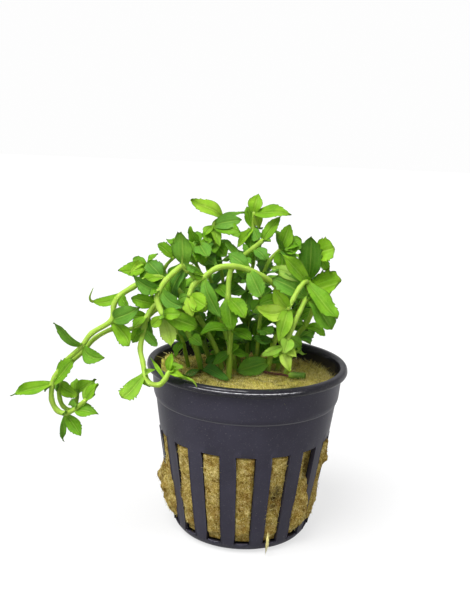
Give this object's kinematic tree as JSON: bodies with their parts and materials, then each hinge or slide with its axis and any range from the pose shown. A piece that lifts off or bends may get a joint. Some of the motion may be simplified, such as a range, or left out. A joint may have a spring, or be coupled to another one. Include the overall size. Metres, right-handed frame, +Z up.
{
  "type": "potted shorts hedge hyssop",
  "caption": "Trailing aquarium plant whose leafy shoots root separately in a plug of rock wool, standing in a black slotted net pot.",
  "frame": {"origin": "middle of the pot's flat bottom", "axes": "+Z up along the pot's axis, -Y to the side that the picture shows, -X to the side that the longest shoots trail to"},
  "size_m": [0.0914, 0.0572, 0.0975],
  "materials": {
    "black_plastic": "satin black moulded plastic",
    "straw_wool": "loose mineral fibre, damp and straw coloured",
    "green_shoot": "fresh leaf with a soft sheen"
  },
  "bodies": {
    "root": {"net_pot": "black_plastic", "rock_wool": "straw_wool", "cut_stem_stub": "green_shoot", "trailing_shoot_outer": "green_shoot", "trailing_shoot_inner": "green_shoot", "hanging_loop_shoot": "green_shoot", "left_drooping_shoot": "green_shoot", "upper_left_shoot": "green_shoot", "left_cluster_shoot": "green_shoot", "inner_left_shoot": "green_shoot", "top_left_shoot": "green_shoot", "top_shoot": "green_shoot", "front_upright_shoot": "green_shoot", "arching_shoot": "green_shoot", "upper_right_shoot": "green_shoot", "right_nodding_shoot": "green_shoot", "right_hanging_shoot": "green_shoot", "dark_right_shoot": "green_shoot", "short_left_shoot": "green_shoot", "back_left_shoot": "green_shoot", "back_shoot": "green_shoot", "back_right_shoot": "green_shoot"}
  },
  "joints": []
}
